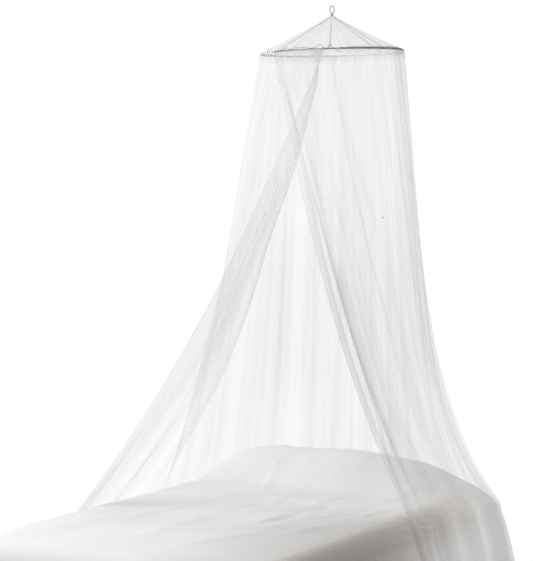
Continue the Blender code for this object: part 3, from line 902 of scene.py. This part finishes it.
def roof():
    """The lapped cone of net from the hoop to the ring."""
    share_of = np.linspace(0, 1, ROOF_COLUMNS + 1)
    rise = np.linspace(0, 1, ROOF_ROWS + 1)
    points = np.zeros((ROOF_ROWS + 1, ROOF_COLUMNS + 1, 3))
    single = np.zeros(ROOF_COLUMNS + 1)
    tip_out = CRIMP_RADIUS + TOUCH + ROOF_HALF - HOOP_RADIUS
    for i, along in enumerate(share_of):
        angle = ROOF_EDGES[0] + ROOF_TUCK * (1 - along) + (ROOF_EDGES[1] - ROOF_EDGES[0]) * along
        single[i] = between(max(angle - ROOF_LAP[0], ROOF_LAP[1] - angle), ROOF_LAP_FADE)
        from_cord = min(abs((angle - cord + 180) % 360 - 180) for cord in CORD_ANGLES)
        # deepest midway between two cords and midway up
        sag = ROOF_SAG * sin(radians(2 * min(max(from_cord - CORD_REACH, 0), 45)))
        lift = outer_layer(angle) * LAP_LIFT
        for j in range(ROOF_ROWS + 1):
            share = j / ROOF_ROWS
            out = tip_out + (RIM_OUT - tip_out) * share
            up = APEX_RISE + (RIM_UP - APEX_RISE) * share - sag * 4 * share * (1 - share) + lift
            points[j, i] = hoop_point(angle, out, up)
    gathered = single * hems(share_of, ROOF_FLAT[0], ROOF_HEM_WIDTH, ROOF_HEM_DENSER)
    gathered = gathered[None, :] * (1 + TIP_DENSER * (1 - rise) ** 3)[:, None]
    across, along = share_of[None, :] * ROOF_FLAT[0], rise[:, None] * ROOF_FLAT[1]
    measures = {"gathered": gathered, "opened": ROOF_OPEN * rise[:, None], "painted_light": 0.0}
    obj = grid("net_roof_cloth", points, across, along, **measures)
    put(obj, "net_roof", slot="net", material=net_material("net_roof", ROOF_COVER))


def tube(name, points, radius, material, sides=8):
    """A smooth curve of round wire, cord or rolled tape through points."""
    data = bpy.data.curves.new(name, "CURVE")
    data.dimensions = "3D"
    data.bevel_depth = radius
    data.bevel_resolution = max(0, sides // 2 - 2)
    data.use_fill_caps = True
    line = data.splines.new("POLY")
    line.points.add(len(points) - 1)
    for point, place in zip(line.points, points):
        point.co = (*place, 1)
    made = link(bpy.data.objects.new(name, data))
    data.materials.append(material)
    return made


def hoop_casing():
    """What is wound round the hoop: pale casing at the left, dark binding and tape opposite."""
    pieces = []
    for name, first, last, radius, up, cloth, colour, grain, vary in CASINGS:
        points = []
        for k in range(CASING_STEPS + 1):
            angle = first + (last - first) * k / CASING_STEPS
            # wound by hand, so a little uneven
            uneven_up = 0.0010 * sin(0.4 * angle) + 0.0005 * sin(1.1 * angle)
            points.append(hoop_point(angle, 0.0, up + uneven_up * (1 if up else 0.3)))
        made = tube(name, points, radius, plain(cloth, colour, 0.9, grain=grain, vary=vary))
        pieces.append(put(made, slot="net"))
    return pieces


def fleck(points):
    """The small dark fleck caught in the net's front, right of the opening."""
    row = min(range(NET_ROWS), key=lambda r: abs(points[r, :, 2].mean() - FLECK[2]))
    column = int(np.argmin(np.linalg.norm(points[row, :, :2] - np.array(FLECK[:2]), axis=1)))
    place = Vector(points[row, column])
    bpy.ops.mesh.primitive_uv_sphere_add(segments=12, ring_count=6, radius=1, location=place)
    obj = bpy.context.object
    obj.name = "fleck"
    obj.scale = FLECK_SIZE
    return put(obj, slot="net", material=plain("fleck_dark", (0.10, 0.09, 0.08), 0.9))


def knot():
    """The tie at the inner panel's top corner: two flat loops, a wrap, a free end and a thread."""
    centre = hoop_point(KNOT_ANGLE, *KNOT_OUT_UP)
    turn = OPENING_ANGLE + radians(KNOT_ANGLE)
    out = np.array((cos(turn), sin(turn), 0))
    aside = np.array((-sin(turn), cos(turn), 0))
    up = np.array((0, 0, 1.0))

    def route(rows):
        places = [centre + (aside * a + out * o + up * z) * 0.001 for a, o, z in rows]
        steps = TIE_STEPS * (len(places) - 1)
        return [through(places, k / TIE_STEPS) for k in range(steps + 1)]

    tape = plain("cream_tape", (0.86, 0.84, 0.78), 0.85, grain=260, vary=0.12)
    thin = plain("tie_thread", (0.34, 0.33, 0.31), 0.9, grain=260)
    put(tube("corner_tie", route(TIE_LOOPS), 0.0021, tape), "corner_knot", slot="knot")
    put(tube("corner_tie_wrap", route(TIE_WRAP), 0.0024, tape), slot="knot")
    put(tube("corner_tie_end", route(TIE_END), 0.0019, tape), slot="knot")
    put(tube("corner_tie_thread", route(TIE_THREAD), 0.0007, thin), slot="knot")


def drawcord():
    """The drawcord, from the knot to its free end, looping up over the net's rim."""
    rows = []
    for (a, low), (b, high) in zip(DRAWCORD_WAVES, DRAWCORD_WAVES[1:]):
        for step in range(DRAWCORD_STEPS):
            share = step / DRAWCORD_STEPS
            rising = 0.5 - 0.5 * cos(pi * step / DRAWCORD_STEPS)
            rows.append((a + (b - a) * share, low + (high - low) * rising))
    rows.append(DRAWCORD_WAVES[-1])
    points = []
    for angle, high in rows:
        stand = DRAWCORD_RADIUS + TOUCH + ROOF_HALF + DRAWCORD_OFF
        layer = 0 if angle > ROOF_EDGES[0] + 1 else LAP_LIFT
        # in over the roof as it rises, and out past the rim as it hangs
        lean = 0.5 * max(high, 0) + 0.6 * min(high, 0)
        points.append(hoop_point(angle, RIM_OUT + stand + layer - lean, high))
    dark = plain("dark_cord", (0.16, 0.15, 0.14), 0.85, grain=300)
    made = tube("drawcord_line", points, DRAWCORD_RADIUS, dark, sides=10)
    put(made, "drawcord", slot="drawcord")


# The height of the pillows' ridge under the bedspread, each 0.1 m from side to side
RIDGE = (
    0, 0.070, 0.119, 0.140, 0.146, 0.147, 0.150, 0.154, 0.154, 0.142, 0.132, 0.123, 0.088,
    0.031, 0,
)
RIDGE_STEP = 0.1
RIDGE_Y, RIDGE_HALF = 0.110, 0.27


def hump(x, y):
    """How far the pillows lift the bedspread."""
    v = (y - RIDGE_Y) / RIDGE_HALF
    at = min(max((x + BED_WIDTH / 2) / RIDGE_STEP, 0), len(RIDGE) - 1)
    return max(0.0, through(RIDGE, at)) * max(0.0, 1 - v * v) ** 1.6


# Soft ridges in the bedspread: middle, way it runs in degrees from +X, length, width, height
CREASES = (
    (-0.56, -1.25, 90, 1.20, 0.110, 0.0100), (-0.07, -0.69, 81, 0.26, 0.016, 0.0060),
    (-0.25, -0.16, 104, 0.26, 0.016, 0.0055), (0.27, -0.84, 90, 0.34, 0.024, 0.0065),
    (0.34, -0.66, 12, 0.30, 0.022, 0.0080), (0.21, -0.90, 66, 0.22, 0.030, -0.0070),
    (0.22, -0.58, 70, 0.26, 0.032, -0.0070), (-0.05, -0.78, 38, 0.45, 0.030, 0.0080),
    (0.14, -1.13, 33, 0.50, 0.042, 0.0085), (-0.30, -0.66, 34, 0.40, 0.034, -0.0060),
    (-0.02, -0.42, 96, 0.34, 0.030, 0.0060), (0.18, -0.36, 88, 0.34, 0.026, 0.0055),
    (-0.30, -0.06, 58, 0.16, 0.014, 0.0040), (-0.22, -0.09, 40, 0.13, 0.012, 0.0035),
    (-0.14, -0.08, 52, 0.15, 0.013, 0.0038), (-0.05, -0.09, 66, 0.16, 0.014, 0.0036),
    (0.05, -0.06, 54, 0.15, 0.014, 0.0034), (-0.42, -0.11, 48, 0.14, 0.013, 0.0036),
    (-0.30, -0.17, 20, 0.18, 0.013, 0.0042), (-0.12, -0.19, 14, 0.20, 0.014, 0.0044),
    (0.14, -0.14, 30, 0.16, 0.014, 0.0036), (-0.40, 0.02, 78, 0.22, 0.025, 0.0032),
    (-0.33, 0.06, 84, 0.26, 0.029, 0.0039), (-0.24, 0.03, 80, 0.20, 0.027, 0.0029),
    (-0.12, -0.04, 96, 0.17, 0.034, 0.0026), (-0.25, -0.42, 70, 0.26, 0.018, 0.0072),
    (-0.17, -0.36, 62, 0.20, 0.016, 0.0057), (-0.38, -0.48, 74, 0.17, 0.020, 0.0043),
    (0.08, -0.38, 8, 0.29, 0.027, 0.0072), (0.22, -0.46, -10, 0.34, 0.031, 0.0086),
    (0.30, -0.30, 64, 0.24, 0.022, 0.0057), (0.42, -0.16, 70, 0.26, 0.023, 0.0065),
    (0.18, -0.84, 82, 0.29, 0.029, 0.0086), (0.05, -0.72, 58, 0.26, 0.025, 0.0065),
    (0.34, -0.74, 66, 0.22, 0.022, 0.0065), (0.50, -0.52, 84, 0.26, 0.023, 0.0086),
    (0.44, -0.98, 72, 0.29, 0.027, 0.0072), (-0.10, -1.20, 88, 0.51, 0.045, 0.0072),
    (0.20, -1.36, 70, 0.37, 0.040, 0.0065), (-0.34, -0.98, 78, 0.42, 0.040, 0.0065),
    (-0.54, -0.06, 80, 0.17, 0.027, 0.0032), (-0.58, -0.44, 60, 0.14, 0.018, 0.0051),
    (-0.46, -1.34, 84, 0.42, 0.045, 0.0057), (0.02, 0.10, 92, 0.20, 0.029, 0.0029),
    (0.16, 0.04, 74, 0.17, 0.025, 0.0029), (0.30, 0.06, 98, 0.20, 0.029, 0.0026),
)
CREASE_BEND = 0.10
CREASE_END = 0.55
SPREAD_SWELL = 0.002


def creases(x, y):
    """How far the bedspread's creases lift it."""
    lift = 0.0
    for middle_x, middle_y, way, length, width, height in CREASES:
        turn = radians(way)
        along = (x - middle_x) * cos(turn) + (y - middle_y) * sin(turn)
        aside = (y - middle_y) * cos(turn) - (x - middle_x) * sin(turn)
        bent = aside + CREASE_BEND * along * along / length
        ended = np.exp(-((along / (CREASE_END * length)) ** 4))
        lift += height * np.exp(-((bent / width) ** 2)) * ended
    slow = sin(4.1 * x + 2.3 * y + 0.5) * sin(2.7 * y - 1.9 * x) + 0.5 * sin(9.0 * x - 5.0 * y)
    return lift + SPREAD_SWELL * (1.5 + slow)


# Folds of the bedspread's hanging sides: how many to the metre, how deep, and their start
SIDE_FOLDS = ((2.3, 0.013, 0.4), (5.1, 0.006, 1.9), (9.7, 0.003, 3.1))
FOLDS_AT_ROLL = 0.12  # of their depth at the hem
FOLDS_UNDER_NET = 0.1  # of their depth outside it
# Where the net hangs over it, how much of the net's pleats the spread fills, and how much
# more round the head's near corner
PLEATS_FILLED, CORNER_FILLED = 0.35, 0.45
CORNER_RUN, CORNER_REACH = 3.42, 0.22
NETTED_OVER = 0.06


def net_runs():
    """Where the net's threads meet the bed's side, and how far its pleats stand out there."""
    runs, room = [], []
    for k in range(BASE_THREADS):
        at = k / (BASE_THREADS - 1) * (len(PLEATS) - 1)
        _, share, _, _, _, foot = through(PLEATS, at)
        runs.append(net_run(share))
        room.append((0.5 + 0.5 * cos(2 * pi * at)) * foot)
    return runs, room


def side_folds(run, fallen, runs, room):
    """How far the hanging sides stand out in soft folds, fallen from 0 at the roll to 1."""
    out = sum(
        deep * (0.5 + 0.5 * sin(2 * pi * each * run + start)) for each, deep, start in SIDE_FOLDS
    )
    loose = out * (FOLDS_AT_ROLL + (1 - FOLDS_AT_ROLL) * fallen)
    near_corner = exp(-(((run - CORNER_RUN) / CORNER_REACH) ** 2))
    filled = PLEATS_FILLED + CORNER_FILLED * near_corner
    under_net = FOLDS_UNDER_NET * out + filled * float(np.interp(run, runs, room))
    inside = min(run - runs[0], runs[-1] - run)
    netted = min(1.0, max(0.0, inside / NETTED_OVER))
    return loose + (under_net - loose) * netted


def spread():
    """The bedspread: a square grid whose rings run from the bed's middle to its hem."""
    reach_top, reach_roll, reach_side = SPREAD_RINGS
    half = reach_top + reach_roll + reach_side
    arc = PLAN_RADIUS * pi / 2
    side = BED_LENGTH - 2 * PLAN_RADIUS + arc
    head = BED_WIDTH - 2 * PLAN_RADIUS + arc
    centre = np.array((0, HEAD_Y - BED_LENGTH / 2))
    middle = SPREAD_THICKNESS / 2
    hem, top = SPREAD_FALL[0][0], SPREAD_FALL[-1][0]
    runs, room = net_runs()

    def ring(k):
        """A ring's share of the plan, its way out, its height and how far it is lifted."""
        if k <= reach_top:
            return k / reach_top, -EDGE_RADIUS, BED_TOP - middle, 1
        if k <= reach_top + reach_roll:
            tilt = pi / 2 * (1 - (k - reach_top) / reach_roll)
            lifted = max(0.0, (tilt / (pi / 2) - LIFT_ENDS) / (1 - LIFT_ENDS)) ** 1.5
            out = (EDGE_RADIUS - middle) * cos(tilt) - EDGE_RADIUS
            return 1, out, BED_TOP - EDGE_RADIUS + (EDGE_RADIUS - middle) * sin(tilt), lifted
        fall = (k - reach_top - reach_roll) / reach_side
        height = top + (hem - top) * fall
        return 1, side_out(height) - middle, height, 0

    def crowd(share, corner):
        """A place along a side, with a fifth of the columns kept for the corner's arc."""
        return float(np.interp(share, (-1, -0.8, 0.8, 1), (-1, corner - 1, 1 - corner, 1)))

    size = 2 * half + 1
    points = np.zeros((size, size, 3))
    for a in range(size):
        for b in range(size):
            i, j = a - half, b - half
            k = max(abs(i), abs(j))
            share, out, height, lifted = ring(k)
            across = crowd(i / k, arc / head) if k else 0
            along = crowd(j / k, arc / side) if k else 0
            if -i == k:
                run = side * (0.5 + along / 2)
            elif j == k:
                run = side + head * (0.5 + across / 2)
            elif i == k:
                run = side + head + side * (0.5 - along / 2)
            else:
                run = 2 * side + head + head * (0.5 - across / 2)
            fallen = max(0.0, (k - reach_top - reach_roll) / reach_side)
            if k > reach_top:
                growing = min(1, (k - reach_top) / reach_roll)
                out += side_folds(run - arc / 2, fallen, runs, room) * growing
            plan, _ = around_bed(run - arc / 2, out)
            plan = centre + (plan - centre) * share
            points[b, a] = (*plan, height + lifted * (hump(*plan) + creases(*plan)))
    flat = np.linspace(-1, 1, size)
    obj = grid("bedspread_cloth", points, flat[None, :], flat[:, None])
    solid = obj.modifiers.new("Thickness", "SOLIDIFY")
    solid.thickness = SPREAD_THICKNESS
    solid.offset = 0
    put(obj, "bedspread", slot="bedspread", material=spread_cloth("brushed_cotton"))


def rest():
    """The materials of the frame's own pieces."""
    looks = {
        "hoop": hoop_steel("hoop_steel"),
        "ceiling_ring": plain("zinc_wire", (0.30, 0.29, 0.28), 0.4, 0.7),
        "ring_crimp": plain("dark_binding", (0.10, 0.10, 0.10), 0.8),
        "mattress": cotton("ticking", (0.74, 0.73, 0.70), (0.70, 0.69, 0.66)),
        "bed_base": cotton("base_cloth", (0.60, 0.59, 0.56), (0.55, 0.54, 0.52)),
        "pillow_left": cotton("pillow_cotton", (0.78, 0.78, 0.77), (0.74, 0.74, 0.73)),
    }
    grey = plain("grey_cord", (0.46, 0.46, 0.45), 0.85, grain=300)
    pale = plain("pale_cord", (0.80, 0.80, 0.79), 0.85, grain=300)
    for k, cord in enumerate((grey, grey, pale, pale), 1):
        looks[f"suspension_cord_{k}"] = cord
    looks["pillow_right"] = looks["pillow_left"]
    for name, made in looks.items():
        node = frame["nodes"][name]
        node.data.materials.clear()
        node.data.materials.append(made)


stage()
net()
roof()
spread()
knot()
drawcord()
rest()
